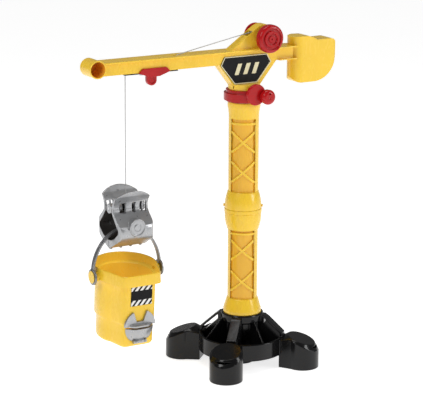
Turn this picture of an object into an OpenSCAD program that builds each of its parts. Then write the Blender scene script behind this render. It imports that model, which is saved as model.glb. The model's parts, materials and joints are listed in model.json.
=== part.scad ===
// Toy tower crane: four-footed base, two-piece mast, slewing jib with a trolley,
// hand-wound winch, spring grab and a hanging bucket with a dump gate.
// Millimetres. The mast axis is Z, the floor is z = 0, the jib points along -X.

/* [Base] */
// Distance from the mast axis to the centre of a foot
foot_reach = 110; // [100:1:125]
// Radius of a foot where it stands
foot_r = 29; // [26:0.5:32]
// Height of a foot at its inner side
foot_h = 61; // [55:1:70]
// Slope of the top facet of a foot, in degrees
foot_slope = 18; // [8:1:25]
// Outer radius of the ring that joins the feet
ring_r = 76; // [70:1:80]
// Height of the collar that holds the mast
collar_top = 93; // [88:1:96]

/* [Mast] */
// Height of the top of the mast
mast_top = 470; // [465:1:480]
// Outer radius of the straight part of the mast
mast_r = 26.2; // [25:0.1:28]
// Height of the joint between the two mast segments
joint_z = 277; // [265:1:290]
// Turn of the mast windows away from the front, in degrees
mast_turn = -33; // [-45:1:45]

/* [Jib] */
// Height of the top of the jib
jib_top = 560; // [555:1:570]
// Depth of the jib beam
jib_depth = 23; // [20:0.5:26]
// Width of the jib's top flange
flange_w = 36; // [32:1:40]
// Width of the jib's box
box_w = 20; // [18:1:24]
// Distance from the mast axis to the tube at the jib's tip
tip_reach = 288; // [280:1:300]
// Outer radius of the tube at the jib's tip
tip_r = 15; // [12:0.5:17]

/* [Winch] */
// Distance of the winch axle behind the mast axis
winch_x = 33; // [28:1:38]
// Height of the winch axle
winch_z = 578.5; // [575:0.5:582]
// Radius at which the line leaves the drum
wind_r = 11; // [10:0.5:12]
// Radius of a winch knob
knob_r = 24.3; // [22:0.1:25]

/* [Load] */
// Distance from the mast axis to the hanging line
load_reach = 229.5; // [225:0.5:235]
// Radius of the bucket's body
bucket_r = 50; // [48:0.5:51]
// Height of the bucket's rim, before the bucket is turned on its studs
rim_top = 211.5; // [208:0.5:214]
// Height of the bucket's bottom, before the bucket is turned on its studs
bucket_bottom = 80; // [78:1:83]
// Angle by which the bucket hangs forward, in degrees
bucket_hang = 5; // [0:1:6]
// Diameter of the line
line_d = 1.6; // [1.2:0.1:2]

/* [Hidden] */
$fn = 72;

yellow = "#f4cc3c";
red = "#b21f26";
black = "#1d1d20";
grey = "#9a9b9d";
steel = "#b9bcc0";
white = "#ececea";

gap = 0.3;                      // space kept between bodies that move past each other
run_fit = 0.08;                 // radial clearance of a shaft in its bore
wall = 2.5;                     // usual wall of a moulding
jib_bottom = jib_top - jib_depth;
jib_start = tip_reach - tip_r + 3;
hx = flange_w / 2;
bx = box_w / 2;
slot_w = 8;
spigot_r = 27;
spigot_bottom = 50.3;
collar_r = 37.5;
screw_reach = 24.4;
crank_z = 486.5;
pinion_teeth = 8;
crown_teeth = 32;
jaw_z = 311;
jaw_half = 33;
pivot_z = 196.5;
bucket_y = 6;
rim_r = 56;
rim_bottom = 192;
rim_front = -60;
rim_half = 36;
front_y = -52.5;
front_half = 30;
gate_z = 118.5;
gate_r = 29;
hinge_z = gate_z - 27;
hinge_y = front_y - 4.5;
line_r = line_d / 2;
line_pin_x = -load_reach + line_r + 2.5;
line_pin_z = 546;
guide_x = -142;
guide_z = 553;
shell_holes = [[-262, 549], [-96, 549], [-47, 532], [41, 532], [68, 549]];

// ---------------------------------------------------------------- helpers
// A cylinder along Y from y0 to y1.
module rod_y(r, y0, y1) {
  translate([0, y1, 0]) rotate([90, 0, 0]) cylinder(r = r, h = y1 - y0);
}

// A cylinder along X from x0 to x1.
module rod_x(r, x0, x1) {
  translate([x0, 0, 0]) rotate([0, 90, 0]) cylinder(r = r, h = x1 - x0);
}

// A 2D outline in x and z, thickened from y0 to y1.
module plate_y(y0, y1) {
  translate([0, y1, 0]) rotate([90, 0, 0]) linear_extrude(y1 - y0) children();
}

// A 2D outline in y and z, thickened from x0 to x1.
module plate_x(x0, x1) {
  translate([x0, 0, 0]) rotate([90, 0, 90]) linear_extrude(x1 - x0) children();
}

// A box given by its low and high corners.
module box(lo, hi) {
  translate(lo) cube(hi - lo);
}

// Points of an arc, in degrees.
function arc(cx, cy, r, a0, a1, n) =
  [for (i = [0 : n]) [cx + r * cos(a0 + (a1 - a0) * i / n), cy + r * sin(a0 + (a1 - a0) * i / n)]];

// A countersunk screw along +Y, its head's face at y = 0.
module screw_y(len) {
  rod_y(1.3, 0, len);
  rotate([-90, 0, 0]) cylinder(r1 = 2.8, r2 = 1.3, h = 1.6);
}

// ---------------------------------------------------------------- base
// A foot with its neck from above, drawn in by inset. The neck starts at x = start.
module foot_plan(inset, start) {
  translate([foot_reach, 0]) circle(r = foot_r - inset);
  end = foot_reach - 4;
  polygon([[start, inset - 20], [end, inset - 27], [end, 27 - inset], [start, 20 - inset]]);
}

// One foot with its neck, pointing along +X.
module foot_solid() {
  intersection() {
    translate([0, 0, 0.5]) linear_extrude(foot_h + 5) foot_plan(0, ring_r - 4);
    translate([foot_reach - foot_r, 0, foot_h]) rotate([0, foot_slope, 0])
      translate([-40, -50, -120]) cube([200, 100, 120]);
    translate([foot_reach - 2, 0, foot_h - foot_r * tan(foot_slope)]) rotate([0, foot_slope, 0])
      translate([0, 0, -80]) cylinder(r1 = foot_r + 76, r2 = foot_r - 4, h = 80.01);
  }
}

module foot_hollow() {
  translate([0, 0, -1]) linear_extrude(41) foot_plan(4, ring_r + 2);
}

// The ramp from the collar down to a foot, with the window through it.
module foot_ramp() {
  difference() {
    plate_y(-9, 9) polygon([[28.5, 25], [74, 25], [75.5, 52], [75.5, 60], [47, 86], [41, 90], [28.5, 90]]);
    plate_y(-10, 10) polygon([[42, 76.5], [42, 84.5], [70.5, 59], [70.5, 52.5], [67, 53.5]]);
  }
}

module thin_rib() {
  plate_y(-1.5, 1.5) polygon([[28.5, 25], [74, 25], [75, 52], [70, 56], [47, 80], [41, 85], [28.5, 85]]);
}

module base_frame() {
  color(black) difference() {
    union() {
      rotate_extrude() polygon([
        [17, 0], [20.5, 0], [20.5, 22.5], [ring_r - 1, 22.5], [ring_r, 23.5], [ring_r, 52],
        [ring_r - 1, 53], [ring_r - 4, 53], [ring_r - 4, 25], [20.5, 25], [20.5, 44],
        [31, 47], [31, 77], [collar_r - 1, 79], [collar_r, 80.5], [collar_r, collar_top - 1.5],
        [collar_r - 1.5, collar_top], [spigot_r + 0.1, collar_top], [spigot_r + 0.1, 50], [17, 50]]);
      for (a = [45 : 90 : 315]) rotate(a) {
        foot_ramp();
        foot_solid();
      }
      for (a = [0 : 90 : 270]) rotate(a) thin_rib();
    }
    for (a = [45 : 90 : 315]) rotate(a) foot_hollow();
    translate([0, 0, 50]) cylinder(r = spigot_r + 0.1, h = 60);
    for (a = [45 : 90 : 315]) rotate(a) translate([screw_reach, 0, 40]) {
      cylinder(r = 2.9, h = 6);
      cylinder(r = 1.8, h = 12);
    }
  }
}

module foot_pads() {
  color("#2c2c2e") for (a = [45 : 90 : 315]) rotate(a)
    translate([foot_reach, 0, 0]) cylinder(r = foot_r - 4.1, h = 5);
}

module base_screws() {
  color(steel) for (a = [45 : 90 : 315]) rotate(a) translate([screw_reach, 0, 0]) {
    translate([0, 0, 43.6]) cylinder(r = 2.6, h = 2.4);
    translate([0, 0, 45]) cylinder(r = 1.6, h = 13);
  }
}

// ---------------------------------------------------------------- mast
bell_r = 32;

panel_depth = 4.2;
panel_half = 20.5;

// A round bar as deep as the panel's floor, for the face on side s, from z0 to z1.
module floor_bar(s, z0, z1, raised) {
  translate([0, -s * panel_depth, z0]) cylinder(r = mast_r + raised, h = z1 - z0);
}

// What is cut from the shaft to make the recessed panel on both faces.
module channel(z0, z1) {
  for (s = [-1, 1]) difference() {
    box([-panel_half, min(s * 5, s * 40), z0], [panel_half, max(s * 5, s * 40), z1]);
    floor_bar(s, z0 - 1, z1 + 1, 0);
  }
}

// What stands up from the panel's floor by the given height, from z0 to z1.
module on_floor(z0, z1, raised) {
  for (s = [-1, 1]) intersection() {
    children();
    difference() {
      floor_bar(s, z0, z1, raised);
      floor_bar(s, z0 - 1, z1 + 1, -0.8);
    }
    box([-panel_half - 0.1, min(s * 5, s * 40), z0], [panel_half + 0.1, max(s * 5, s * 40), z1]);
  }
}

// Crossed ribs in the panel, centred at height zc.
module lattice(zc) {
  on_floor(zc - 19, zc + 19, 2.4) for (s = [-1, 1]) translate([0, 0, zc]) rotate([0, s * 48, 0])
    box([-2.1, -40, -34], [2.1, 40, 34]);
}

// The small shelf under the top of the panel.
module shelf(z0) {
  on_floor(z0, z0 + 4, 3) box([-30, -40, z0], [30, 40, z0 + 4]);
}

module lower_mast() {
  difference() {
    union() {
      difference() {
        rotate_extrude() polygon(concat(
          [[19, spigot_bottom], [spigot_r, spigot_bottom], [spigot_r, collar_top],
           [33.5, collar_top], [33.2, 100]],
          arc(mast_r + 8, 123, 8, 215, 180, 4),
          [[mast_r, 243], [28, 244.5]],
          arc(-43.6, 270, 75.6, -19, 0, 8),
          [[bell_r, joint_z - 3], [22.2, joint_z - 3], [22.2, 249], [19, 246]]));
        channel(120, 244);
      }
      lattice(152);
      lattice(208);
      shelf(236);
    }
    for (a = [45 : 90 : 315]) rotate(a - mast_turn) translate([screw_reach, 0, 40])
      cylinder(r = 1.6, h = 20);
  }
}

module upper_mast() {
  difference() {
    rotate_extrude() polygon(concat(
      [[10.1, 455], [10.1, 466], [17, 466], [17, mast_top - 0.5], [28.2, mast_top - 0.5],
       [28.5, mast_top - 3]],
      arc(mast_r + 97, 441, 97, 167.5, 180, 5),
      [[mast_r, 312.5], [27.4, 311]],
      arc(-43.6, 284, 75.6, 20, 0, 8),
      [[bell_r, joint_z + 4], [24.5, joint_z + 4], [22, joint_z + 3.9], [22, 251], [18, 251],
       [18, 452]]));
    channel(312, 441);
  }
  lattice(347.5);
  lattice(400.5);
  shelf(431);
}

// Half of a mast segment: the front half has the windows that face the viewer.
module mast_half(front) {
  rotate(mast_turn) intersection() {
    children();
    if (front) box([-60, -60, 0], [60, -0.05, 600]);
    else box([-60, 0.05, 0], [60, 60, 600]);
  }
}

module mast_lower_front() { color(yellow) mast_half(true) lower_mast(); }
module mast_lower_rear() { color(yellow) mast_half(false) lower_mast(); }
module mast_upper_front() { color(yellow) mast_half(true) upper_mast(); }
module mast_upper_rear() { color(yellow) mast_half(false) upper_mast(); }

module mast_joint_ring() {
  color(yellow) difference() {
    translate([0, 0, joint_z - 2.9]) cylinder(r = bell_r + 0.7, h = 6.8);
    translate([0, 0, joint_z - 5]) cylinder(r = 24.6, h = 12);
  }
}

// Two spring clips that lock the segments, on the seam of the halves.
module mast_clips() {
  color(yellow) rotate(mast_turn) for (s = [0, 180]) rotate(s) difference() {
    translate([0, 0, joint_z + 8]) rod_x(2.6, 25, 34.4);
    translate([0, 0, joint_z]) cylinder(r = bell_r + 0.1, h = 20);
  }
}

// The fixed gear ring that the pinion climbs round. Its teeth point up.
module crown_gear() {
  crown_z = crank_z - 7.5;
  color(white) {
    difference() {
      translate([0, 0, mast_top - 0.4]) cylinder(r = 27.4, h = crown_z - mast_top + 0.4);
      translate([0, 0, mast_top - 2]) cylinder(r = 20, h = 20);
    }
    for (i = [0 : crown_teeth - 1]) rotate(270 + (i + 0.5) * 360 / crown_teeth)
      box([21, -0.75, crown_z - 0.5], [27, 0.75, crank_z - 5.3]);
  }
}

// ---------------------------------------------------------------- head
module slew_collar() {
  color(red) difference() {
    union() {
      translate([0, 0, mast_top + 0.5]) cylinder(r = 31.5, h = 21);
      translate([0, 0, 472.5]) cylinder(r = 35.1, h = 13.5);
    }
    translate([0, 0, mast_top - 1]) cylinder(r = 28.9, h = 489 - mast_top);
    translate([0, 0, 480]) cylinder(r = 10.1, h = 20);
    translate([0, 0, crank_z]) rod_y(2.5 + run_fit, -40, -9);
    translate([0, 0, crank_z]) rod_y(19.2, -40, -35);
    pinion_pocket();
  }
}

// Room for the pinion, in the collar's top and the neck's foot.
module pinion_pocket() {
  box([-7.8, -28.6, crank_z - 9], [7.8, -19.6, crank_z + 7.8]);
}

// The spindle that the head turns on. It carries the crank's inner bearing.
module slew_spindle() {
  color(white) difference() {
    union() {
      translate([0, 0, 453]) cylinder(r = 10, h = 39);
      box([-4, -18.5, crank_z - 4.5], [4, 0, crank_z + 1.5]);
      translate([0, 0, 491.5]) cylinder(r = 14, h = 2.5);
    }
    translate([0, 0, 440]) cylinder(r = 1.4, h = 25);
    translate([0, 0, crank_z]) rod_y(2.5 + run_fit, -30, -12);
  }
}

module spindle_screw() {
  color(steel) {
    translate([0, 0, 450.8]) cylinder(r = 13, h = 2.1);
    translate([0, 0, 448.5]) cylinder(r = 3.4, h = 2.4);
    translate([0, 0, 450]) cylinder(r = 1.35, h = 14);
  }
}

// Outline of the V-shaped neck, jib and tail, in x and z.
module side_outline() {
  polygon([[-jib_start, jib_bottom], [-56, jib_bottom], [-27, 499], [27, 499], [58, jib_bottom],
           [92, jib_bottom], [92, jib_top], [-jib_start, jib_top]]);
}

// Outline of the winch housing above the jib.
module housing_outline() {
  polygon(concat([[54, jib_top - 1], [-34, jib_top - 1]],
    arc(winch_x, winch_z, 22.3, 125.5, 0, 20), [[55.3, 572]]));
}

// Half of the jib, neck and tail, for y < 0. The other half is its mirror image.
module jib_half() {
  difference() {
    union() {
      // box side and neck
      plate_y(-bx, -0.05) difference() {
        side_outline();
        offset(delta = -wall) side_outline();
      }
      plate_y(-bx, -bx + wall) side_outline();
      // top flange, and the two flanges of the tail that hold the counterweight's nose
      box([-jib_start - 3, -hx, jib_top - wall], [96, -0.05, jib_top]);
      box([60, -hx, jib_bottom], [96, -0.05, jib_bottom + 2]);
      // round foot of the neck
      intersection() {
        translate([0, 0, 491.6]) cylinder(r = 28, h = 10);
        box([-40, -40, 480], [40, -0.05, 520]);
      }
      // winch housing: side cheek, the rim that closes it and the axle's bearing
      plate_y(-bx, -bx + wall) housing_outline();
      plate_y(-bx, -0.05) difference() {
        housing_outline();
        offset(delta = -2) housing_outline();
      }
      translate([winch_x, 0, winch_z]) rod_y(7, -hx - 0.5, -bx + 1);
      // bosses for the screws
      for (p = shell_holes) translate([p.x, 0, p.y]) rod_y(3.4, -bx + 1, -0.05);
      // bridge that carries the line guide
      translate([guide_x, 0, guide_z - 3.4]) rod_y(3, -bx + 1, -6.6);
    }
    // hollow under the housing, open to the jib
    box([-28, -bx + wall, jib_top - 4], [51, 1, jib_top + 3]);
    // slot along the bottom for the trolley
    box([-load_reach - 12, -slot_w / 2, jib_bottom - 1], [-62, 1, jib_bottom + 3]);
    // slots for the line: in the housing's incline and in the top flange
    box([0.5, -bx + 1.6, 572], [12, 1, 600]);
    box([guide_x - 1, -3, jib_top - 4], [guide_x + 16, 1, jib_top + 1]);
    // winch axle bearing
    translate([winch_x, 0, winch_z]) rod_y(3 + run_fit, -30, 0);
    // tip tube and counterweight nose
    translate([-tip_reach, 0, 550.3]) rod_y(tip_r + 0.05, -30, 1);
    translate([107, 0, 480]) cylinder(r = 18.1, h = 110);
    // pin of the line guide
    translate([guide_x, 0, guide_z - 3.4]) rod_y(1.5, -9, 1);
    // spindle flange, pinion
    translate([0, 0, 480]) cylinder(r = 14.1, h = 14.1);
    pinion_pocket();
    for (p = shell_holes) translate([p.x, 0, p.y]) rod_y(1.3, -6, 1);
  }
}

module jib_shell_near() { color(yellow) jib_half(); }

module jib_shell_far() {
  color(yellow) difference() {
    mirror([0, 1, 0]) jib_half();
    for (p = shell_holes) translate([p.x, bx + 0.01, p.y]) rotate([90, 0, 0]) {
      cylinder(r1 = 2.9, r2 = 1.4, h = 1.7);
      cylinder(r = 1.4, h = 12);
    }
  }
}

module jib_tip_tube() {
  color(yellow) translate([-tip_reach, 0, 550.3]) difference() {
    rod_y(tip_r, -hx - 0.5, hx + 0.5);
    rod_y(tip_r - 2, -hx - 2, hx - 1.5);
  }
}

module shell_screws() {
  color(steel) for (p = shell_holes) translate([p.x, bx - 0.1, p.y]) mirror([0, 1, 0]) screw_y(14);
}

module line_guide_pin() {
  color(steel) translate([guide_x, 0, guide_z - 3.4]) rod_y(1.45, -8.4, 8.4);
}

// Hexagonal badge plate. Its centre lies a little towards the jib.
module badge_outline() {
  polygon([[-53.5, 536], [-46, 550.4], [38, 550.4], [46.5, 536], [18.5, 502], [-25.5, 502]]);
}

module badge() {
  plate_y(-bx - 1, -bx) badge_outline();
  plate_y(-bx - 2, -bx - 1) difference() {
    badge_outline();
    offset(delta = -1.6) badge_outline();
  }
}

module label_near() { color(black) badge(); }
module label_far() { color(black) mirror([0, 1, 0]) badge(); }

// ---------------------------------------------------------------- counterweight
module counterweight_side() {
  polygon(concat([[88, 574], [88, 512]], arc(104, 510.5, 16, 180, 270, 6),
    arc(131, 537.5, 43, -90, -12, 12), [[176.5, 546]],
    arc(164.5, 556, 12, 0, 90, 6), [[137, 567.6], [129, 572.5], [120, 574.8], [104, 575.4]]));
}

module counterweight_plan() {
  translate([107, 0]) circle(r = 18);
  translate([107, -18]) square([63.5, 36]);
  translate([162, -12]) square([14.5, 24]);
  for (s = [-1, 1]) translate([170.5, s * 12]) circle(r = 6);
}

module counterweight_solid(inset) {
  intersection() {
    plate_y(-30, 30) offset(delta = -inset) counterweight_side();
    translate([0, 0, 480]) linear_extrude(110) offset(delta = -inset) counterweight_plan();
  }
}

module counterweight_half(near) {
  difference() {
    counterweight_solid(0);
    counterweight_solid(wall);
    if (near) box([80, 0, 480], [180, 30, 600]);
    else box([80, -30, 480], [180, 0.1, 600]);
  }
}

module counterweight_near() { color(yellow) counterweight_half(true); }
module counterweight_far() { color(yellow) counterweight_half(false); }

module ballast_block() {
  color("#55565a") box([108, -13, 504], [148, 13, 553]);
}

// ---------------------------------------------------------------- line
// A round tube swept along points that lie in the plane y = 0.
function heading(p, i) =
  let(a = p[max(i - 1, 0)], b = p[min(i + 1, len(p) - 1)], d = b - a) d / norm(d);

module swept_line(p) {
  sides = 8;
  rings = [for (i = [0 : len(p) - 1]) let(h = heading(p, i)) for (k = [0 : sides - 1])
    let(a = 360 * k / sides)
      [p[i].x - h.y * line_r * cos(a), line_r * sin(a), p[i].y + h.x * line_r * cos(a)]];
  n = len(p);
  polyhedron(rings, concat(
    [[for (k = [0 : sides - 1]) k]],
    [for (i = [0 : n - 2]) for (k = [0 : sides - 1])
      [i * sides + k, (i + 1) * sides + k, (i + 1) * sides + (k + 1) % sides, i * sides + (k + 1) % sides]],
    [[for (k = [sides - 1 : -1 : 0]) (n - 1) * sides + k]]));
}

// From the drum over the housing into the jib, and round the guide.
line_route = [[31, 589.5], [10, 587], [-20, 581.6], [-58, 574.4], [-98, 566.8], [-122, 562],
              [-132, 559.4], [-137, 556.6], [-140.6, 553.6], [-144, 552.6], [-150, 552.2], [-160, 552]];

module line_top() { color(white) swept_line(line_route); }

module line_hanging() {
  color(white) translate([-load_reach, 0, 319.9]) cylinder(r = line_r, h = line_pin_z - 319.9, $fn = 16);
}

module line_wraps() {
  color(white) translate([winch_x, 0, winch_z]) rotate([90, 0, 0]) difference() {
    union() {
      translate([0, 0, -5.3]) cylinder(r = wind_r - 1.6, h = 10.6);
      for (i = [-2.5 : 2.5]) translate([0, 0, i * 1.7]) rotate_extrude()
        translate([wind_r - 1.7, 0]) circle(r = 0.9, $fn = 16);
    }
    translate([0, 0, -12]) cylinder(r = 6.55, h = 24);
  }
}

// ---------------------------------------------------------------- slewing crank
module crank_disc() {
  color(red) translate([0, 0, crank_z]) difference() {
    rotate([90, 0, 0]) rotate_extrude()
      polygon([[0, 35.9], [17.4, 35.9], [18.3, 36.8], [18.3, 40.6], [16.8, 42], [0, 42]]);
    rod_y(2.55, -40.2, -20);
  }
}

module crank_knob() {
  color(red) translate([18, 0, crank_z - 4]) difference() {
    rotate([90, 0, 0]) rotate_extrude() polygon(concat(
      [[0, 42.05], [11, 42.05], [12.6, 43.2]], arc(6.8, 49.5, 6.2, -20, 90, 8),
      [[3.2, 55.7], [2.2, 54.4], [0, 54.2]]));
    translate([0, 0, 6]) rod_y(1.6, -57, -52);
  }
}

module crank_axle() {
  color(steel) translate([0, 0, crank_z]) rod_y(2.5, -40, -13);
}

module slew_pinion() {
  color(white) translate([0, 0, crank_z]) difference() {
    union() {
      rod_y(4.6, -28, -20);
      for (i = [0 : pinion_teeth - 1]) rotate([0, i * 360 / pinion_teeth, 0])
        box([-0.75, -27.4, -7], [0.75, -20.6, 0]);
    }
    rod_y(2.55, -30, -10);
  }
}

// ---------------------------------------------------------------- winch
module winch_axle() {
  color(steel) translate([winch_x, 0, winch_z]) rod_y(3, -32.5, 23.5);
}

module winch_drum() {
  color(white) translate([winch_x, 0, winch_z]) difference() {
    union() {
      rod_y(6.5, -6.9, 6.9);
      for (s = [-1, 1]) translate([0, s * 6.2, 0]) rod_y(15, -0.7, 0.7);
    }
    rod_y(3.05, -20, 20);
  }
}

// The knob turned by hand: a barrel-shaped rim, a raised ring and a finger hollow.
module winch_knob_near() {
  color(red) translate([winch_x, 0, winch_z]) difference() {
    rotate([90, 0, 0]) rotate_extrude() polygon(concat(
      [[0, 19.4], [knob_r - 3, 19.4]], arc(knob_r - 4.2, 24.4, 4.2, -70, 0, 5), [[knob_r, 30]],
      arc(knob_r - 5, 31, 5, 0, 80, 6),
      [[18.6, 36], [18, 33.6], [14.4, 33.6], [13.8, 36.6], [10.2, 36.6], [9.6, 34.2], [6, 34.2],
       [5.6, 36.2], [0, 36.2]]));
    rod_y(3.02, -32.6, -10);
    rod_y(1.3, -40, -34);
    translate([9.5, -41, -13.5]) sphere(r = 7.4);
  }
}

// The plain disc that holds the axle on the far side.
module winch_knob_far() {
  color(red) translate([winch_x, 0, winch_z]) difference() {
    rotate([-90, 0, 0]) rotate_extrude() polygon(concat(
      [[0, 19.2], [19, 19.2], [21, 20.6]], arc(18.6, 22, 2.4, 0, 90, 5), [[8, 24.4], [7, 26], [0, 26]]));
    rod_y(3.02, 10, 23.6);
  }
}

// ---------------------------------------------------------------- trolley
runner_x0 = -load_reach - 4;
runner_x1 = -133;

module trolley_runner() {
  color(black) difference() {
    union() {
      box([runner_x0, -6.8, 534.4], [runner_x1, 6.8, jib_bottom - gap]);
      box([runner_x0, -3.6, 534.6], [runner_x1, 3.6, 541]);
      box([runner_x0, -6.9, jib_bottom + wall + gap], [runner_x1, 6.9, 542]);
      for (y = [-6.4, 3.4]) box([line_pin_x - 4, y, 541], [line_pin_x + 4, y + 3, 551.4]);
    }
    translate([-load_reach, 0, 520]) cylinder(r = 1.4, h = 40);
    translate([line_pin_x, 0, line_pin_z]) rod_y(2.5, -8, 8);
    for (x = [-200, -162]) translate([x, 0, 525]) cylinder(r = 1.3, h = 30);
  }
}

module saddle_side() {
  polygon([[-210, 536.6], [-204.5, 542.6], [-202, 544], [-159, 544], [-156.5, 542.6], [-151, 536.6],
           [-158, 534], [-171, 529.5], [-190, 529.5], [-203, 534]]);
}

module trolley_saddle() {
  color(red) difference() {
    union() {
      for (s = [-1, 1]) plate_y(s > 0 ? bx + gap : -bx - 3.3, s > 0 ? bx + 3.3 : -bx - gap) saddle_side();
      intersection() {
        plate_y(-bx - 3.3, bx + 3.3) saddle_side();
        box([-220, -20, 520], [-140, 20, 534.3]);
      }
      // finger tab
      plate_y(-4, 4) {
        translate([-181, 522]) circle(r = 9);
        translate([-190, 522]) square([18, 9]);
      }
    }
    translate([-181, 0, 521.5]) rod_y(5.2, -5, -2.6);
    translate([-181, 0, 521.5]) rod_y(5.2, 2.6, 5);
    for (x = [-200, -162]) translate([x, 0, 525]) {
      cylinder(r = 1.6, h = 30);
      cylinder(r = 3, h = 8.2);
    }
  }
}

module trolley_screws() {
  color(steel) for (x = [-200, -162]) translate([x, 0, 0]) {
    translate([0, 0, 531.4]) cylinder(r = 2.6, h = 1.7);
    translate([0, 0, 532]) cylinder(r = 1.25, h = 9.6);
  }
}

module trolley_pin() {
  color(steel) translate([line_pin_x, 0, line_pin_z]) rod_y(2.45, -6.4, 6.4);
}

// ---------------------------------------------------------------- grab
// Outline of one jaw in y and z, for the side y < 0: the lobe, the waist, the front and the lip.
module jaw_outline() {
  polygon([[-31, 344], [-28, 344], [-22, 333.5], [-15, 324], [-12, 317], [-12, 305], [-19.5, 295.5],
           [-32, 281.5], [-34, 277.5], [-32.5, 273], [-28, 269], [-19, 262.5], [-9, 258.5], [-0.4, 257.5],
           [-0.4, 243.5], [-6, 244], [-33, 259], [-38.5, 263.5], [-41, 269], [-41.3, 281], [-39, 286.5],
           [-32.5, 292.8], [-22, 302], [-17.5, 307.5], [-16.5, 316], [-19.5, 324.5], [-26.5, 334.5]]);
}

// Radius of the arched top edge, and of the rounded ends of the front.
arch_r = 52;
jaw_corner = 9;
jaw_front = 41.3;

module jaw_plan() {
  x = jaw_half - jaw_corner;
  polygon(concat([[-jaw_half, 0]], arc(-x, jaw_corner - jaw_front, jaw_corner, 180, 270, 8),
    arc(x, jaw_corner - jaw_front, jaw_corner, 270, 360, 8), [[jaw_half, 0]]));
}

// Everything under the arched top edge.
module under_arch() {
  translate([0, 0, 343.5 - arch_r]) {
    rod_y(arch_r, -60, 10);
    box([-arch_r, -60, -60], [arch_r, 10, 0]);
  }
}

module jaw_body() {
  intersection() {
    plate_x(-jaw_half, jaw_half) jaw_outline();
    under_arch();
    translate([0, 0, 230]) linear_extrude(130) jaw_plan();
  }
}

// Hinge lugs of a jaw, and the slots in its waist: middle and half the width, in x.
lugs = [-29.7, 13];
slots = [[-14.8, 5.8], [5.8, 2.9], [19.2, 1.8], [26.4, 2.8]];

// One jaw, at the place of the near one.
module jaw() {
  difference() {
    union() {
      jaw_body();
      for (x = lugs) translate([0, 0, jaw_z]) {
        rod_x(8.4, x - 2.9, x + 2.9);
        box([x - 2.9, -14, -6], [x + 2.9, 0, 6]);
      }
      // round boss on the front, with a raised rim
      translate([0, 0, 283.5]) rod_y(15, -42.3, -32);
      translate([0, 0, 283.5]) difference() {
        rod_y(15, -43.6, -41);
        rod_y(12.6, -44, -40);
      }
      translate([0, 0, 283.5]) rod_y(6, -43.2, -41);
      // teeth along the mouth
      for (x = [-30.5, -12, 6.5, 25]) box([x - 2, -6, 241.6], [x + 2, -0.4, 246]);
    }
    for (p = slots) box([p.x - p.y, -30, 304.5], [p.x + p.y, -8, 321.5]);
    for (s = [-1, 1]) translate([s * 19.5, -42.4, 0]) cylinder(r = 1.3, h = 298);
    translate([0, 0, jaw_z]) rod_x(2.5 + run_fit, -40, 40);
  }
}

module jaw_near() {
  color(grey) translate([-load_reach, 0, 0]) jaw();
}

module jaw_far() {
  color(grey) translate([-load_reach, 0, 0]) rotate([0, 0, 180]) jaw();
}

module jaw_pin() {
  color(steel) translate([-load_reach, 0, jaw_z]) {
    rod_x(2.5, -jaw_half + 0.5, jaw_half - 0.5);
    // eye that the line is tied to
    difference() {
      rod_x(4.6, -1.5, 1.5);
      rod_x(2.4, -2, 2);
    }
  }
}

// Coils of the torsion spring round the pin.
module jaw_spring() {
  color(steel) translate([-load_reach, 0, jaw_z]) for (x = [3.4, 5.2, 7]) translate([x, 0, 0])
    rotate([0, 90, 0]) rotate_extrude() translate([3.6, 0]) circle(r = 0.8, $fn = 16);
}

// Dark sleeves on the pin, between the lugs. The middle one is a shell round the spring and the knot.
module hinge_sleeves() {
  color(black) translate([-load_reach, 0, jaw_z]) {
    for (s = [-1, 1]) difference() {
      rod_x(8.2, s * 21.35 - 5, s * 21.35 + 5);
      rod_x(2.55, s * 21.35 - 6, s * 21.35 + 6);
    }
    difference() {
      rod_x(8.2, -9.7, 9.7);
      rod_x(5.4, -8.6, 8.6);
      rod_x(2.55, -12, 12);
      cylinder(r = 2.6, h = 12);
    }
  }
}

module line_knot() {
  color(white) translate([-load_reach, 0, 317.6]) sphere(r = 2);
}

// ---------------------------------------------------------------- bail and bucket
bail_a = 63.4;
bail_b = 75;
bail_z = 200;

// The bail's curve, moved outwards by d: straight legs with half an ellipse on top.
function bail_curve(d) = concat([[bail_a + d, pivot_z]],
  [for (t = [0 : 4.5 : 180]) [(bail_a + d) * cos(t), bail_z + (bail_b + d) * sin(t)]],
  [[-bail_a - d, pivot_z]]);
function reversed(p) = [for (i = [len(p) - 1 : -1 : 0]) p[i]];

module bail_band(half, d0, d1) {
  plate_y(-half, half) polygon(concat(bail_curve(d1), reversed(bail_curve(d0))));
}

module bail() {
  color("#7d7f82") translate([-load_reach, 0, 0]) difference() {
    union() {
      bail_band(4.5, -1.4, 1.7);
      for (s = [-1, 1]) translate([0, 0, pivot_z]) rod_x(13.8, s * bail_a - 1.5, s * bail_a + 1.5);
    }
    // channel along the outside
    bail_band(2.6, 0.4, 3);
    translate([0, 0, pivot_z]) rod_x(6 + run_fit, -80, 80);
  }
}

// Puts the bucket, drawn upright with its middle at x = 0, where it hangs on its studs.
module hung() {
  translate([-load_reach, 0, pivot_z]) rotate([bucket_hang, 0, 0]) translate([0, 0, -pivot_z]) children();
}

// From above: a round back, two straight cheeks and a flat front, drawn in by d.
module bucket_plan(r, half, front, d) {
  translate([0, bucket_y]) circle(r = r - d, $fn = 96);
  polygon([[d - r, bucket_y], [0.8 * d - half, front + d], [half - 0.8 * d, front + d], [r - d, bucket_y]]);
}

module bucket_rim(d) {
  linear_extrude(rim_top - rim_bottom + 1) bucket_plan(rim_r, rim_half, rim_front, d);
}

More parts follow.
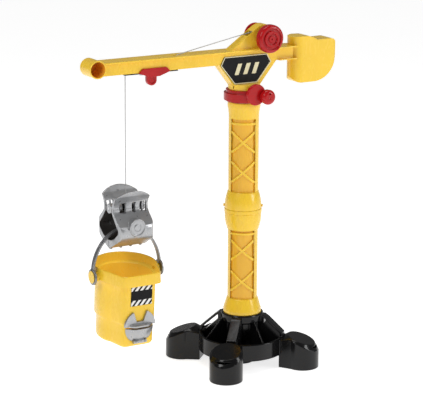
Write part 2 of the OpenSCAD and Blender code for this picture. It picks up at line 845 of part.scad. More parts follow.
// The body in two tiers, its foot drawn in all round, and its front foot cut back.
module bucket_body(d) {
  foot = bucket_bottom + d;
  step = 123 + 0.7 * d;
  intersection() {
    union() {
      intersection() {
        translate([0, 0, foot]) linear_extrude(126 - foot)
          bucket_plan(bucket_r - 4, front_half - 2, front_y, d);
        translate([0, bucket_y, foot]) cylinder(r1 = bucket_r - 10 - d, r2 = bucket_r + 60 - d, h = 70);
      }
      translate([0, 0, step]) linear_extrude(rim_bottom + 4 - step)
        bucket_plan(bucket_r, front_half, front_y, d);
    }
    plate_x(-80, 80) polygon([[front_y + d, 240], [front_y + d, foot + 7], [front_y + d + 7, foot],
                              [80, foot], [80, 240]]);
  }
}

module bucket_shell() {
  color(yellow) hung() difference() {
    union() {
      bucket_body(0);
      translate([0, 0, rim_bottom]) bucket_rim(0);
      // bosses for the bail
      for (s = [-1, 1]) translate([0, 0, pivot_z]) rod_x(8.5, s * 55 - 5.1, s * 55 + 5.1);
    }
    bucket_body(wall);
    translate([0, 0, rim_bottom + wall]) bucket_rim(wall);
    box([-80, -80, rim_top], [80, 80, rim_top + 5]);
    // mouth behind the gate
    intersection() {
      translate([0, 0, gate_z]) rod_y(24, -60, front_y + 8);
      box([-30, -60, hinge_z + 4], [30, front_y + 8, gate_z]);
    }
    for (s = [-1, 1]) translate([0, 0, pivot_z]) rod_x(3, s * 57 - 8, s * 57 + 8);
  }
}

// Two studs that the bail turns on.
module bail_studs() {
  color(yellow) translate([-load_reach, 0, pivot_z]) for (s = [-1, 1]) mirror([s > 0 ? 0 : 1, 0, 0]) {
    rod_x(2.95, 51, 61);
    rod_x(6, 60.2, 65.3);
    rod_x(10.6, 65.2, 66.4);
  }
}

module bucket_label() {
  color(black) hung() box([-17.4, front_y - 0.7, rim_bottom - 37], [22.4, front_y, rim_bottom - 2]);
}

// Upper half of the gate: fixed to the wall, with two ears and a lip.
module gate_bezel() {
  color(grey) hung() {
    plate_y(front_y - 4, front_y) intersection() {
      translate([0, gate_z]) circle(r = gate_r);
      translate([0, gate_z]) polygon([[-40, 1], [40, 1], [40, 36], [13.5, 29.5], [6.5, 8.5], [-6.5, 8.5],
                                      [-13.5, 29.5], [-40, 36]]);
    }
    intersection() {
      box([-27.5, front_y - 12, gate_z + 1], [27.5, front_y - 3.9, gate_z + 4]);
      translate([0, front_y + 17, 0]) cylinder(r = 31, h = 200);
    }
  }
}

// Lower half of the gate: a bulging door hinged along its bottom edge.
module gate_door() {
  color(grey) hung() difference() {
    union() {
      intersection() {
        translate([0, 0, gate_z]) rod_y(gate_r, front_y - 9, front_y - gap);
        box([-40, front_y - 9, hinge_z], [40, front_y - gap, gate_z - 2]);
        translate([0, front_y + 36, gate_z - 4]) sphere(r = 45);
      }
      intersection() {
        box([-27.5, front_y - 12, gate_z - 5], [27.5, front_y - 3, gate_z - 2]);
        translate([0, front_y + 17, 0]) cylinder(r = 31, h = 200);
      }
      translate([0, hinge_y, hinge_z]) rod_x(3.2, -8, 8);
    }
    translate([0, hinge_y, hinge_z]) rod_x(1.5 + run_fit, -20, 20);
    for (s = [-1, 1]) box([s * 10.5 - 2.3, hinge_y - 3.8, hinge_z - 4],
                          [s * 10.5 + 2.3, front_y + 1, hinge_z + 3.6]);
  }
}

// Hinge pin with the two lugs that hold it to the bucket.
module gate_pin() {
  color(grey) hung() {
    translate([0, hinge_y, hinge_z]) rod_x(1.5, -12, 12);
    for (s = [-1, 1]) {
      translate([0, hinge_y, hinge_z]) rod_x(3.2, s * 10.5 - 1.7, s * 10.5 + 1.7);
      box([s * 10.5 - 1.7, hinge_y, hinge_z - 2.6], [s * 10.5 + 1.7, front_y, hinge_z + 2.6]);
    }
  }
}

base_frame();
foot_pads();
base_screws();
mast_lower_front();
mast_lower_rear();
mast_upper_front();
mast_upper_rear();
mast_joint_ring();
mast_clips();
crown_gear();
slew_collar();
slew_spindle();
spindle_screw();
jib_shell_near();
jib_shell_far();
jib_tip_tube();
shell_screws();
line_guide_pin();
label_near();
label_far();
counterweight_near();
counterweight_far();
ballast_block();
line_top();
crank_disc();
crank_knob();
crank_axle();
slew_pinion();
winch_axle();
winch_drum();
line_wraps();
winch_knob_near();
winch_knob_far();
trolley_runner();
trolley_saddle();
trolley_screws();
trolley_pin();
line_hanging();
jaw_pin();
jaw_spring();
hinge_sleeves();
line_knot();
jaw_near();
jaw_far();
bail();
bucket_shell();
bail_studs();
bucket_label();
gate_bezel();
gate_door();
gate_pin();
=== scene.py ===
"""Looks of a toy tower crane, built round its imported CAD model.

Lengths are written in millimetres and turned into metres by MM or mm(). The frame is the CAD's: the mast's
axis is Z, the floor is z = 0, the jib points along -X and -Y is the side of the slewing crank.
"""
import json
import math

import bmesh
import bpy
from mathutils import Matrix, Vector


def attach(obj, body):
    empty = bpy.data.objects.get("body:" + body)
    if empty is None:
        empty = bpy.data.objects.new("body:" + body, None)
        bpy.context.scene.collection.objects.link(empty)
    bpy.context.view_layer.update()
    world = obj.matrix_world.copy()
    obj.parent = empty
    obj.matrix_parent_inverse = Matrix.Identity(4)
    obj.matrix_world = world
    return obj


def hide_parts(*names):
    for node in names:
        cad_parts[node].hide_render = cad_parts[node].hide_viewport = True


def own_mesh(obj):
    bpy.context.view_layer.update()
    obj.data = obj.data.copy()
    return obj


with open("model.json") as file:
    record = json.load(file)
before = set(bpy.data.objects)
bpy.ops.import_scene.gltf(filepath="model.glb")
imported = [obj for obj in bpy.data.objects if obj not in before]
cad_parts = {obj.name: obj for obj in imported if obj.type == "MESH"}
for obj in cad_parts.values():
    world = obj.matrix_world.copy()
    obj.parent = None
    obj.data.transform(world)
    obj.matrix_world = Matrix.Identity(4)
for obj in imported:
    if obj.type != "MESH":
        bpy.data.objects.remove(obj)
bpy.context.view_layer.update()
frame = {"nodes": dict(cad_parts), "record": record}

MM = 0.001
NODES = frame["nodes"]
SCENE = bpy.context.scene


def mm(*values):
    """A point given in millimetres, in metres."""
    return Vector([v * MM for v in values])


# ---------------------------------------------------------------- camera
CAMERA_AT = mm(-1626.6, -2693.9, 1091.3)
CAMERA_AZIMUTH = math.radians(30.124)      # of the view direction, from +Y towards +X
CAMERA_PITCH = math.radians(14.228)        # downwards
CAMERA_ROLL = math.radians(0.317)
CAMERA_LENS = 158.82                       # mm, on a 36 mm sensor


def make_camera():
    data = bpy.data.cameras.new("camera")
    data.sensor_width = 36
    data.lens = CAMERA_LENS
    data.clip_end = 20
    camera = bpy.data.objects.new("camera", data)
    SCENE.collection.objects.link(camera)
    forward = Vector((math.sin(CAMERA_AZIMUTH) * math.cos(CAMERA_PITCH),
                      math.cos(CAMERA_AZIMUTH) * math.cos(CAMERA_PITCH), -math.sin(CAMERA_PITCH)))
    level = Vector((math.cos(CAMERA_AZIMUTH), -math.sin(CAMERA_AZIMUTH), 0))
    over = level.cross(forward)
    right = level * math.cos(CAMERA_ROLL) + over * math.sin(CAMERA_ROLL)
    up = over * math.cos(CAMERA_ROLL) - level * math.sin(CAMERA_ROLL)
    camera.matrix_world = Matrix((right, up, -forward)).transposed().to_4x4()
    camera.location = CAMERA_AT
    SCENE.camera = camera


make_camera()


# ---------------------------------------------------------------- materials
def shader(name, color, roughness, coat=0.0, specular=0.5):
    """A material with its principled shader, ready for the detail that each recipe adds."""
    material = bpy.data.materials.new(name)
    material.use_nodes = True
    tree = material.node_tree
    bsdf = tree.nodes["Principled BSDF"]
    bsdf.inputs["Base Color"].default_value = (*color, 1)
    bsdf.inputs["Roughness"].default_value = roughness
    bsdf.inputs["Coat Weight"].default_value = coat
    bsdf.inputs["Coat Roughness"].default_value = 0.12
    bsdf.inputs["Specular IOR Level"].default_value = specular
    return material, tree, bsdf


def place(tree):
    """Object coordinates, so that the detail stays on the piece."""
    return tree.nodes.new("ShaderNodeTexCoord").outputs["Object"]


def noise(tree, at, scale, detail=3.0, stretch=(1, 1, 1)):
    """A noise value from 0 to 1. The scale counts waves per metre."""
    mapping = tree.nodes.new("ShaderNodeMapping")
    mapping.inputs["Scale"].default_value = stretch
    node = tree.nodes.new("ShaderNodeTexNoise")
    node.inputs["Scale"].default_value = scale
    node.inputs["Detail"].default_value = detail
    tree.links.new(at, mapping.inputs["Vector"])
    tree.links.new(mapping.outputs["Vector"], node.inputs["Vector"])
    return node.outputs["Fac"]


def ramp(tree, value, low, high, out_low, out_high):
    """Maps value from low..high to out_low..out_high."""
    node = tree.nodes.new("ShaderNodeMapRange")
    for socket, number in zip(("From Min", "From Max", "To Min", "To Max"), (low, high, out_low, out_high)):
        node.inputs[socket].default_value = number
    tree.links.new(value, node.inputs["Value"])
    return node.outputs["Result"]


def blend_color(tree, share, low, high):
    """A colour between low and high."""
    node = tree.nodes.new("ShaderNodeMix")
    node.data_type = "RGBA"
    node.inputs["A"].default_value = (*low, 1)
    node.inputs["B"].default_value = (*high, 1)
    tree.links.new(share, node.inputs["Factor"])
    return node.outputs["Result"]


def bump(tree, bsdf, height, strength, distance):
    """Raises the surface by the height value, over a distance in millimetres."""
    node = tree.nodes.new("ShaderNodeBump")
    node.inputs["Strength"].default_value = strength
    node.inputs["Distance"].default_value = distance * MM
    tree.links.new(height, node.inputs["Height"])
    tree.links.new(node.outputs["Normal"], bsdf.inputs["Normal"])


PAINTED_GLOW_COLOR = (0.86, 0.7, 0.1)         # painted glow: the colour of an even emission that stands in for daylight through a thin yellow wall


def moulded(name, color, roughness, coat=0.1, grain=0.006, spread=0.03, glow=0.0, specular=0.5,
            painted_glow=0.0):
    """Injection-moulded plastic: faint flow marks in the colour, a fine skin, handling marks in the gloss.

    Spread is the share by which the colour varies, grain the strength of the skin's bumps. Glow is light
    scattered under the surface. Painted glow is painted light: an even emission that stands in for light
    coming through from the far side.
    """
    material, tree, bsdf = shader(name, color, roughness, coat, specular)
    at = place(tree)
    flow = ramp(tree, noise(tree, at, 22, 4, (1, 1, 0.35)), 0.3, 0.7, 0, 1)
    darker = [c * (1 - spread) for c in color]
    lighter = [min(1, c * (1 + spread) + 0.003) for c in color]
    tree.links.new(blend_color(tree, flow, darker, lighter), bsdf.inputs["Base Color"])
    marks = noise(tree, at, 160, 6, (1, 1, 0.5))
    tree.links.new(ramp(tree, marks, 0.35, 0.75, roughness * 0.85, roughness * 1.25),
                   bsdf.inputs["Roughness"])
    bump(tree, bsdf, noise(tree, at, 900, 2), grain, 0.2)
    if glow:
        bsdf.inputs["Subsurface Weight"].default_value = glow
        bsdf.inputs["Subsurface Radius"].default_value = (1, 0.7, 0.2)
        bsdf.inputs["Subsurface Scale"].default_value = 1.5 * MM
    # painted light: an even emission that glows under any lamp, standing in for daylight through the wall
    if painted_glow:
        bsdf.inputs["Emission Color"].default_value = (*PAINTED_GLOW_COLOR, 1)
        bsdf.inputs["Emission Strength"].default_value = painted_glow
    return material


def silvered(name, color):
    """Silver-pigmented plastic with fine flakes."""
    material, tree, bsdf = shader(name, color, 0.38, 0.15)
    at = place(tree)
    flakes = noise(tree, at, 2600, 2)
    tree.links.new(blend_color(tree, ramp(tree, flakes, 0.35, 0.7, 0, 1), [c * 0.93 for c in color],
                               [c * 1.07 for c in color]), bsdf.inputs["Base Color"])
    bsdf.inputs["Metallic"].default_value = 0.7
    tree.links.new(ramp(tree, noise(tree, at, 120, 5), 0.3, 0.7, 0.26, 0.38), bsdf.inputs["Roughness"])
    bump(tree, bsdf, flakes, 0.012, 0.1)
    return material


def turned_steel(name):
    """Zinc-plated steel with fine turning marks."""
    material, tree, bsdf = shader(name, (0.62, 0.63, 0.65), 0.3)
    at = place(tree)
    bsdf.inputs["Metallic"].default_value = 1.0
    lines = noise(tree, at, 500, 2, (1, 6, 1))
    tree.links.new(ramp(tree, lines, 0.3, 0.7, 0.22, 0.42), bsdf.inputs["Roughness"])
    tree.links.new(blend_color(tree, noise(tree, at, 60), (0.52, 0.53, 0.56), (0.68, 0.68, 0.69)),
                   bsdf.inputs["Base Color"])
    bump(tree, bsdf, lines, 0.05, 0.1)
    return material


def cast_iron(name):
    """Rough grey iron with darker patches."""
    material, tree, bsdf = shader(name, (0.1, 0.1, 0.11), 0.7)
    at = place(tree)
    bsdf.inputs["Metallic"].default_value = 0.8
    grain = noise(tree, at, 700, 6)
    tree.links.new(blend_color(tree, noise(tree, at, 90, 5), (0.07, 0.07, 0.075), (0.16, 0.14, 0.13)),
                   bsdf.inputs["Base Color"])
    bump(tree, bsdf, grain, 0.4, 0.4)
    return material


def matt_rubber(name):
    """Dull dark rubber with a fine grain."""
    material, tree, bsdf = shader(name, (0.03, 0.03, 0.032), 0.85, 0, 0.3)
    at = place(tree)
    tree.links.new(blend_color(tree, noise(tree, at, 150, 5), (0.02, 0.02, 0.021), (0.05, 0.05, 0.05)),
                   bsdf.inputs["Base Color"])
    bump(tree, bsdf, noise(tree, at, 1200, 4), 0.3, 0.3)
    return material


def braided(name):
    """White braided line: the strands cross as two slanted waves."""
    material, tree, bsdf = shader(name, (0.6, 0.6, 0.6), 0.75, 0, 0.3)
    at = place(tree)
    waves = []
    for slant in (1, -1):
        mapping = tree.nodes.new("ShaderNodeMapping")
        mapping.inputs["Rotation"].default_value = (0, slant * math.radians(40), 0)
        wave = tree.nodes.new("ShaderNodeTexWave")
        wave.inputs["Scale"].default_value = 420
        tree.links.new(at, mapping.inputs["Vector"])
        tree.links.new(mapping.outputs["Vector"], wave.inputs["Vector"])
        waves.append(wave.outputs["Fac"])
    weave = tree.nodes.new("ShaderNodeMath")
    weave.operation = "MULTIPLY"
    tree.links.new(waves[0], weave.inputs[0])
    tree.links.new(waves[1], weave.inputs[1])
    tree.links.new(blend_color(tree, weave.outputs[0], (0.42, 0.42, 0.42), (0.66, 0.66, 0.66)),
                   bsdf.inputs["Base Color"])
    bsdf.inputs["Sheen Weight"].default_value = 0.3
    bump(tree, bsdf, weave.outputs[0], 0.5, 0.15)
    return material


YELLOW = moulded("yellow_plastic", (0.88, 0.57, 0.035), 0.26, coat=0.15, glow=0.08, specular=0.4)
# painted shade: a darker, more orange yellow for the floors of the mast's recessed panels
SHADED_RECESS_YELLOW = moulded("recess_painted_shade", (0.82, 0.45, 0.03), 0.34, glow=0.08, specular=0.4)
# The bucket's inside carries painted glow, an even emission for light through its thin wall.
PAINTED_GLOW_YELLOW = moulded("bucket_inside_painted_glow", (0.88, 0.54, 0.03), 0.3, specular=0.4, painted_glow=0.18)
# painted shade: a darker orange for the inside of the tube at the jib's tip
SHADED_TUBE_ORANGE = moulded("tube_inside_painted_shade", (0.86, 0.40, 0.03), 0.4, grain=0.02, spread=0.05)
RED = moulded("red_plastic", (0.42, 0.004, 0.006), 0.2, coat=0.05, spread=0.1, specular=0.3)
BLACK = moulded("black_plastic", (0.003, 0.003, 0.0034), 0.16, coat=0, spread=0.3, specular=0.28)
# A near-black colour for the faces that look into the grab's hollow.
GRAB_HOLLOW_DARK = moulded("grab_hollow_dark", (0.02, 0.017, 0.015), 0.6, coat=0, grain=0.02, spread=0.2)
FOIL = moulded("label_black", (0.005, 0.005, 0.006), 0.5, coat=0, grain=0.01, spread=0.2, specular=0.15)
PALE = moulded("label_rim", (0.72, 0.66, 0.42), 0.35, grain=0.01, spread=0.05)
WHITE = moulded("label_white", (0.80, 0.80, 0.78), 0.35, grain=0.01)
NYLON = moulded("white_nylon", (0.78, 0.78, 0.74), 0.42, grain=0.02, spread=0.04, glow=0.1)
SILVER = silvered("silver_plastic", (0.38, 0.385, 0.395))
BAIL_GREY = silvered("bail_grey", (0.24, 0.24, 0.245))
RUBBER = matt_rubber("pad_rubber")
STEEL = turned_steel("steel")
CORD = braided("line_cord")
IRON = cast_iron("ballast_iron")

OF_SLOT = {"yellow_plastic": YELLOW, "red_plastic": RED, "black_plastic": BLACK, "label_black": FOIL,
           "silver_plastic": SILVER, "bail_grey": BAIL_GREY, "pad_rubber": RUBBER, "steel": STEEL,
           "white_nylon": NYLON, "line_cord": CORD, "ballast_iron": IRON}
SLOT_OF = {s["node"]: s["material_slot"] for s in frame["record"]["subparts"]}
BODY_OF = {n: b for b, members in frame["record"]["behaviour"]["bodies"].items() for n in members}


# ---------------------------------------------------------------- helpers
def new_object(name, mesh, material, body):
    """An object that rides on a body and has one material."""
    piece = bpy.data.objects.new(name, mesh)
    SCENE.collection.objects.link(piece)
    if mesh.materials:
        mesh.materials.clear()
    mesh.materials.append(material)
    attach(piece, body)
    return piece


def smooth(mesh, angle):
    """Smooth shading, with a crease wherever two faces meet at more than the angle."""
    for polygon in mesh.polygons:
        polygon.use_smooth = True
    mesh.set_sharp_from_angle(angle=math.radians(angle))


def skin(bm, rings):
    """Faces between neighbouring rings, one row after another, then the two ends as a last row."""
    count = len(rings[0])
    rows = [[bm.faces.new((low[i], low[(i + 1) % count], high[(i + 1) % count], high[i]))
             for i in range(count)] for low, high in zip(rings, rings[1:])]
    return rows + [[bm.faces.new(reversed(rings[0])), bm.faces.new(rings[-1])]]


def as_mesh(bm, name):
    """Turns the faces outwards and gives the finished mesh."""
    bmesh.ops.recalc_face_normals(bm, faces=bm.faces)
    mesh = bpy.data.meshes.new(name)
    bm.to_mesh(mesh)
    bm.free()
    return mesh


def softened(node, width, angle, merge):
    """A copy of a CAD node with its sharp edges rounded by width. It stands for the node.

    Folds under the angle are only shaded smooth. Merge joins the triangles of its flat faces.
    """
    mesh = NODES[node].data.copy()
    mesh.name = node + "_soft"
    bm = bmesh.new()
    bm.from_mesh(mesh)
    bmesh.ops.remove_doubles(bm, verts=bm.verts, dist=0.002 * MM)
    if merge:
        bmesh.ops.dissolve_limit(bm, angle_limit=math.radians(0.6), verts=bm.verts, edges=bm.edges)
    bm.to_mesh(mesh)
    bm.free()
    piece = new_object(node + "_soft", mesh, OF_SLOT[SLOT_OF[node]], BODY_OF[node])
    bevel = piece.modifiers.new("rounded edges", "BEVEL")
    bevel.width = width * MM
    bevel.segments = 2
    bevel.limit_method = "ANGLE"
    bevel.angle_limit = math.radians(angle)
    bevel.use_clamp_overlap = False
    bevel.miter_outer = "MITER_ARC"
    smooth(mesh, 180)
    shading = piece.modifiers.new("even shading", "WEIGHTED_NORMAL")
    shading.keep_sharp = True
    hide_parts(node)


def slab(outline, y0, y1, turn):
    """The faces of a slab: its outline in x and z, its flat sides at y0 and y1, in millimetres."""
    bm = bmesh.new()
    skin(bm, [[bm.verts.new(turn @ mm(x, y, z)) for x, z in outline] for y in (y0, y1)])
    return bm


def plate(name, outline, y0, y1, material, body, turn=Matrix.Identity(4)):
    """A thin plate with its edges broken. Its shown face lies at y0."""
    bm = slab(outline, y0, y1, turn)
    bmesh.ops.bevel(bm, geom=bm.edges[:], offset=0.04 * MM, segments=1, affect="EDGES")
    new_object(name, as_mesh(bm, name), material, body)


def paint(piece, material, wanted):
    """Gives the material to the faces that pass the test, which reads their middle in mm and their normal."""
    piece.data.materials.append(material)
    index = len(piece.data.materials) - 1
    for polygon in piece.data.polygons:
        if wanted(polygon.center / MM, polygon.normal):
            polygon.material_index = index


# ---------------------------------------------------------------- line
# Routes are given as (x, z), in the plane y = 0.
LINE_R = 0.8
DRUM_TO_GUIDE = [(31, 589.5), (10, 587), (-20, 581.6), (-58, 574.4), (-98, 566.8), (-122, 562),
                 (-132, 559.4), (-137, 556.6), (-140.6, 553.6), (-144, 552.6), (-150, 552.2), (-160, 552)]
LOAD_X = -229.5
PIN_X, PIN_Z = -226.2, 546      # the trolley's pin
PIN_R = 2.45
LINE_END_Z = 319.9              # where the hanging line meets its knot
HANGING_STEPS = 60


def tube(name, points, radius, body, sides=12):
    """A round tube of line along the points."""
    bm = bmesh.new()
    rings = []
    for i, p in enumerate(points):
        a, b = points[max(i - 1, 0)], points[min(i + 1, len(points) - 1)]
        d = Vector((b[0] - a[0], b[1] - a[1])).normalized()
        rings.append([bm.verts.new(mm(p[0] - d.y * radius * math.cos(t), radius * math.sin(t),
                                      p[1] + d.x * radius * math.cos(t)))
                      for t in (2 * math.pi * k / sides for k in range(sides))])
    skin(bm, rings)
    mesh = as_mesh(bm, name)
    piece = new_object(name, mesh, CORD, body)
    smooth(mesh, 60)
    return piece


def rounded_route(points, steps=4):
    """Catmull-Rom points through the route, in x and z."""
    result = []
    for i in range(len(points) - 1):
        p0, p1, p2, p3 = (Vector(points[max(0, min(len(points) - 1, i + k))]) for k in (-1, 0, 1, 2))
        for s in range(steps):
            t = s / steps
            q = 0.5 * (2 * p1 + (p2 - p0) * t + (2 * p0 - 5 * p1 + 4 * p2 - p3) * t ** 2
                       + (3 * p1 - p0 - 3 * p2 + p3) * t ** 3)
            result.append((q.x, q.y))
    return result + [points[-1]]


def make_line():
    """The line in its three stretches: drum to guide, inside the jib, and hanging."""
    top = rounded_route(DRUM_TO_GUIDE)
    piece = tube("line_over_housing", top, LINE_R, "head")
    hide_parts("line_top")
    bend = PIN_R + LINE_R
    inner = [(-160, 552), (-172, 551.6), (-186, 550.9), (-200, 550.1), (-214, PIN_Z + bend + 0.25),
             (PIN_X, PIN_Z + bend)]
    piece = tube("line_in_jib", inner, LINE_R, "head")
    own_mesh(piece)
    hanging = [(LOAD_X, PIN_Z + (LINE_END_Z - PIN_Z) * i / HANGING_STEPS) for i in range(HANGING_STEPS + 1)]
    piece = tube("line_hanging_down", hanging, LINE_R, "trolley")
    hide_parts("line_hanging")
    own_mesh(piece)


make_line()


# ---------------------------------------------------------------- softened pieces
SOFT_WIDTHS = {
    "base_frame": 1.0, "mast_lower_front": 0.5, "mast_lower_rear": 0.5, "mast_upper_front": 0.5,
    "mast_upper_rear": 0.5, "mast_joint_ring": 0.8, "mast_clips": 0.4, "slew_collar": 0.6,
    "crank_disc": 0.5, "crank_knob": 0.4, "jib_shell_near": 0.5, "jib_shell_far": 0.5, "jib_tip_tube": 0.5,
    "counterweight_near": 0.6, "counterweight_far": 0.6, "winch_knob_near": 0.4, "winch_knob_far": 0.5,
    "trolley_runner": 0.4, "trolley_saddle": 0.7, "jaw_near": 0.9, "jaw_far": 0.9, "bail": 0.5,
    "bail_studs": 0.6, "gate_bezel": 0.5, "gate_door": 0.6, "label_near": 0.3,
    "label_far": 0.3, "bucket_label": 0.15, "foot_pads": 0.6,
}
FOLD_ANGLE = 34
JAW_FOLD_ANGLE = 48             # the jaws' front bends in soft folds
UNMERGED = ["bail"]             # its band is too bent for one flat face

for node, width in SOFT_WIDTHS.items():
    softened(node, width, JAW_FOLD_ANGLE if node.startswith("jaw_") else FOLD_ANGLE, node not in UNMERGED)


# ---------------------------------------------------------------- painted faces
MAST_R = 26.2
PANEL_DEPTH = 4.2               # how far the panels' floor lies inside the mast's round
PANEL_Z = (120, 441)            # from the lowest panel's foot to the highest panel's top
MAST_TURN = math.radians(-33)
TIP_X, TIP_Z = -288, 550.3      # axis of the tube at the jib's tip
TIP_INNER_R = 13.2
TIP_Y = (-17, 16.8)             # from the tube's mouth to its floor
GRAB_Z = 281                    # height of the middle of the grab's hollow
HOLLOW_Z = (256, 310)
BADGE_FACE = 11.0               # distance of the badge's face from the jib's middle plane


def on_panel_floor(c, normal):
    """Whether a face of the mast lies on the floor of a recessed panel."""
    along = c.x * math.cos(MAST_TURN) + c.y * math.sin(MAST_TURN)
    out = abs(c.y * math.cos(MAST_TURN) - c.x * math.sin(MAST_TURN))
    on_floor = abs(math.hypot(along, out + PANEL_DEPTH) - MAST_R) < 0.7
    return on_floor and out > 12 and PANEL_Z[0] < c.z < PANEL_Z[1]


def in_tip_tube(c, normal):
    """Whether a face lies inside the tube at the jib's tip."""
    return math.hypot(c.x - TIP_X, c.z - TIP_Z) < TIP_INNER_R and TIP_Y[0] < c.y < TIP_Y[1]


def in_grab(c, normal):
    """Whether a face of a jaw looks into the grab's hollow."""
    inward = Vector((0, -c.y, GRAB_Z - c.z))
    faces_in = inward.length > 1 and normal.dot(inward.normalized()) > 0.35
    return faces_in and HOLLOW_Z[0] < c.z < HOLLOW_Z[1]


def on_badge_rim(c, normal):
    """Whether a face of a badge stands proud of its dark field."""
    return abs(c.y) > BADGE_FACE + 0.05


# Painted shade on the floors of the recessed panels.
for node in ("mast_lower_front", "mast_lower_rear", "mast_upper_front", "mast_upper_rear"):
    paint(bpy.data.objects[node + "_soft"], SHADED_RECESS_YELLOW, on_panel_floor)
# Painted shade inside the tip tube.
paint(bpy.data.objects["jib_tip_tube_soft"], SHADED_TUBE_ORANGE, in_tip_tube)
# The faces that look into the grab's hollow are made near black.
for node in ("jaw_near", "jaw_far"):
    paint(bpy.data.objects[node + "_soft"], GRAB_HOLLOW_DARK, in_grab)
for node in ("label_near", "label_far"):
    paint(bpy.data.objects[node + "_soft"], PALE, on_badge_rim)


# ---------------------------------------------------------------- badge bars
BAR_HALF = 4
BAR_LEAN = 7
BAR_STEP = 17
BAR_BOTTOM, BAR_TOP = 518, 537


def make_badge_bars():
    """Three slanted bars on the face of each badge."""
    for side, side_name in ((-1, "near"), (1, "far")):
        for i in range(3):
            low_x = -22 + BAR_STEP * i
            top_x = low_x + BAR_LEAN
            outline = [(low_x - BAR_HALF, BAR_BOTTOM), (low_x + BAR_HALF, BAR_BOTTOM),
                       (top_x + BAR_HALF, BAR_TOP), (top_x - BAR_HALF, BAR_TOP)]
            plate(f"badge_bar_{side_name}_{i + 1}", outline, side * (BADGE_FACE + 0.25),
                  side * (BADGE_FACE - 0.1), PALE, "head")


make_badge_bars()


# ---------------------------------------------------------------- bucket
# The bucket is drawn upright with its middle at x = 0, then turned on its studs. z counts from the floor.
JOINTS = {j["name"]: j for j in frame["record"]["behaviour"]["joints"]}
STUDS = Vector(JOINTS["bucket_tip"]["pos_m"])
HANG = math.radians(5)
HUNG = (Matrix.Translation(STUDS) @ Matrix.Rotation(HANG, 4, "X")
        @ Matrix.Translation((0, 0, -STUDS.z)))
BUCKET_Y = 6
FRONT_Y = -52.5
RIM_BOTTOM = 192
GATE_Z = 118.5
MOUTH_R = 24
MOUTH_DEPTH = 23                # from the gate's middle down to the mouth's sill
TIERS = [(46, 28, FRONT_Y), (50, 30, FRONT_Y), (56, 36, -60)]     # radius, half the front's width, front
CORNER_SHARPNESS = 16           # of the round front corners: the higher, the tighter
WALL = 2.5


def tier_reach(tier, turn):
    """Distance from the bucket's middle to its wall, at a tier and an angle. The front corners are round."""
    radius, half, front = TIERS[tier]
    depth = BUCKET_Y - front
    x, y = abs(math.cos(turn)), -math.sin(turn)
    if y <= 0:
        return radius
    to_front = depth / y
    to_cheek = radius * depth / (x * depth + y * (radius - half))
    corner = (to_front ** -CORNER_SHARPNESS + to_cheek ** -CORNER_SHARPNESS) ** (-1 / CORNER_SHARPNESS)
    return max(radius, corner)


def bucket_ring(z, level, inset, count=144):
    """Points of the wall at a height. The level runs from 0, the lower tier, to 2, the rim."""
    tier = min(int(level), 1)
    points = []
    for i in range(count):
        turn = 2 * math.pi * i / count
        lower, upper = tier_reach(tier, turn), tier_reach(tier + 1, turn)
        reach = lower + (level - tier) * (upper - lower) - inset
        points.append(HUNG @ mm(reach * math.cos(turn), BUCKET_Y + reach * math.sin(turn), z))
    return points


def bucket_profile():
    """Height, level and inset of each ring: up the outside, over the rim and down the inside."""
    outside = [(80, 0, 9), (80.5, 0, 5.2), (81.8, 0, 2.6), (84, 0, 0.9), (87, 0, 0), (104, 0, 0), (121, 0, 0),
               (122.4, 0.2, 0), (124, 0.8, 0), (125.4, 1, 0), (150, 1, 0), (175, 1, 0), (189.6, 1, 0),
               (191, 1.15, 0), (191.6, 1.5, 0), (191.7, 1.9, 0), (192.4, 2.08, 0), (194, 2.1, 0),
               (202, 2.0, 0), (209.6, 1.92, 0)]
    top = [(211, 1.92, 0.4), (211.5, 1.92, WALL / 2), (211, 1.92, WALL - 0.4)]
    inside = [(209.6, 1.92, WALL), (202, 2, WALL), (196, 2.05, WALL), (195, 1.8, WALL), (194.5, 1.3, WALL),
              (193.6, 1.05, WALL), (192, 1, WALL), (150, 1, WALL), (126.5, 1, WALL), (124.4, 0.4, WALL),
              (123, 0, WALL), (104, 0, WALL), (88, 0, WALL), (84.6, 0, 4.2), (82.9, 0, 8), (82.5, 0, 12)]
    return outside + top + inside


def mouth_cutter():
    """The half disc that is cut from the front wall behind the gate."""
    edge = [(MOUTH_R * math.cos(t), GATE_Z + MOUTH_R * math.sin(t))
            for t in (math.radians(a) for a in range(180, 361, 6))]
    outline = [(x, max(z, GATE_Z - MOUTH_DEPTH)) for x, z in edge]
    return bpy.data.objects.new("mouth", as_mesh(slab(outline, FRONT_Y - 6, FRONT_Y + 7, HUNG), "mouth"))


def make_bucket():
    """The bucket as one lofted skin, its inside in a yellow with painted glow, with its mouth cut out."""
    bm = bmesh.new()
    profile = bucket_profile()
    top = max(range(len(profile)), key=lambda k: profile[k][0])
    rows = skin(bm, [[bm.verts.new(p) for p in bucket_ring(*row)] for row in profile])
    # The inside faces take the second material, the yellow with painted glow.
    for faces in rows[top + 1:-1]:
        for face in faces:
            face.material_index = 1
    rows[-1][1].material_index = 1
    mesh = as_mesh(bm, "bucket_skin")
    piece = new_object("bucket_skin", mesh, YELLOW, "bucket")
    mesh.materials.append(PAINTED_GLOW_YELLOW)
    cutter = mouth_cutter()
    SCENE.collection.objects.link(cutter)
    cut = piece.modifiers.new("mouth", "BOOLEAN")
    cut.operation = "DIFFERENCE"
    cut.object = cutter
    cut.solver = "EXACT"
    bpy.context.view_layer.objects.active = piece
    bpy.ops.object.modifier_apply(modifier=cut.name)
    bpy.data.objects.remove(cutter)
    smooth(mesh, 40)
    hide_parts("bucket_shell")


BOSS_OUTLINE = [(54.4, 0), (54.4, 8.5), (59.3, 8.5), (60.1, 7.7), (60.1, 0)]    # along the studs, radius


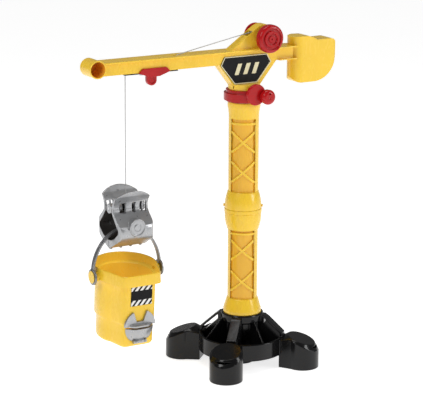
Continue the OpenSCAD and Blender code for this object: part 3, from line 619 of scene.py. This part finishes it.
def make_stud_boss(name, side, count=40):
    """The turned boss that a stud sits in."""
    bm = bmesh.new()
    turns = [2 * math.pi * k / count for k in range(count)]
    skin(bm, [[bm.verts.new(STUDS + mm(side * along, radius * math.cos(t), radius * math.sin(t)))
               for t in turns] for along, radius in BOSS_OUTLINE])
    bmesh.ops.remove_doubles(bm, verts=bm.verts, dist=0.001 * MM)
    mesh = as_mesh(bm, name)
    new_object(name, mesh, YELLOW, "bucket")
    smooth(mesh, 34)


def clipped(outline, low_x, high_x):
    """The part of a convex outline between two upright lines."""
    for limit, keep_above in ((low_x, True), (high_x, False)):
        result = []
        for a, b in zip(outline, outline[1:] + outline[:1]):
            a_in, b_in = ((p[0] > limit) == keep_above for p in (a, b))
            if a_in:
                result.append(a)
            if a_in != b_in:
                t = (limit - a[0]) / (b[0] - a[0])
                result.append((limit, a[1] + t * (b[1] - a[1])))
        outline = result
    return outline if len(outline) > 2 else []


LABEL_X = 2.5                   # the label's middle
LABEL_HALF = 19.6
STRIPE_W, STRIPE_STEP, STRIPE_SLOPE = 4.4, 10, 0.8
BANDS = {"upper": (-10.2, -2.3), "lower": (-36.7, -27)}     # heights from the rim's lower edge


def make_bucket_label():
    """White bands with dark slanted stripes above and below a plain dark field."""
    left, right = LABEL_X - LABEL_HALF, LABEL_X + LABEL_HALF
    for name, (z0, z1) in BANDS.items():
        low, high, slant = RIM_BOTTOM + z0, RIM_BOTTOM + z1, STRIPE_SLOPE * (z1 - z0)
        plate(f"label_band_{name}", [(left, low), (right, low), (right, high), (left, high)],
              FRONT_Y - 0.85, FRONT_Y - 0.6, WHITE, "bucket", HUNG)
        for i in range(-1, 5):
            x = left + 1.5 + STRIPE_STEP * i
            corners = [(x, low), (x + STRIPE_W, low), (x + STRIPE_W + slant, high), (x + slant, high)]
            shown = clipped(corners, left, right)
            if shown:
                plate(f"label_stripe_{name}_{i + 2}", shown, FRONT_Y - 0.95, FRONT_Y - 0.8, FOIL, "bucket",
                      HUNG)


make_bucket()
make_stud_boss("stud_boss_left", -1)
make_stud_boss("stud_boss_right", 1)
make_bucket_label()


# ---------------------------------------------------------------- pieces shown as the CAD has them
for node, piece in NODES.items():
    if not piece.hide_render:
        piece.data.materials.clear()
        piece.data.materials.append(OF_SLOT[SLOT_OF[node]])


# ---------------------------------------------------------------- stage and light
FLOOR_GLOW = 0.78               # keeps the far floor as white as the near one
WORLD_STRENGTH = 0.2
MIDDLE = (-0.05, 0, 0.32)       # what the lamps look at, in metres
LAMPS = {                       # place, size and power
    "key": ((-1.85, -0.7, 1.7), (0.6, 0.9), 16),
    "fill": ((1.2, -1.5, 1.0), (0.5, 1.2), 15),
    "top": ((-0.2, 0.1, 2.2), (1.0, 1.0), 11),
}


def make_stage():
    """A pale floor under a plain white sky."""
    material, tree, bsdf = shader("floor", (0.86, 0.86, 0.86), 0.6)
    at = place(tree)
    tree.links.new(blend_color(tree, noise(tree, at, 3, 3), (0.85, 0.85, 0.85), (0.88, 0.88, 0.88)),
                   bsdf.inputs["Base Color"])
    bsdf.inputs["Emission Color"].default_value = (1, 1, 1, 1)
    bsdf.inputs["Emission Strength"].default_value = FLOOR_GLOW
    bpy.ops.mesh.primitive_plane_add(size=12, location=(0, 0, 0))
    floor = bpy.context.object
    floor.name = "floor"
    floor.data.materials.append(material)
    world = bpy.data.worlds.new("studio")
    world.use_nodes = True
    world.node_tree.nodes["Background"].inputs["Color"].default_value = (1, 1, 1, 1)
    world.node_tree.nodes["Background"].inputs["Strength"].default_value = WORLD_STRENGTH
    SCENE.world = world
    SCENE.view_settings.view_transform = "Standard"


def make_lamps():
    """Soft boxes that look at the middle of the crane."""
    for name, (at, size, power) in LAMPS.items():
        data = bpy.data.lights.new(name, "AREA")
        data.shape = "RECTANGLE"
        data.size, data.size_y = size
        data.energy = power
        lamp = bpy.data.objects.new(name, data)
        lamp.location = at
        lamp.rotation_euler = (Vector(MIDDLE) - Vector(at)).to_track_quat("-Z", "Y").to_euler()
        SCENE.collection.objects.link(lamp)


make_stage()
make_lamps()
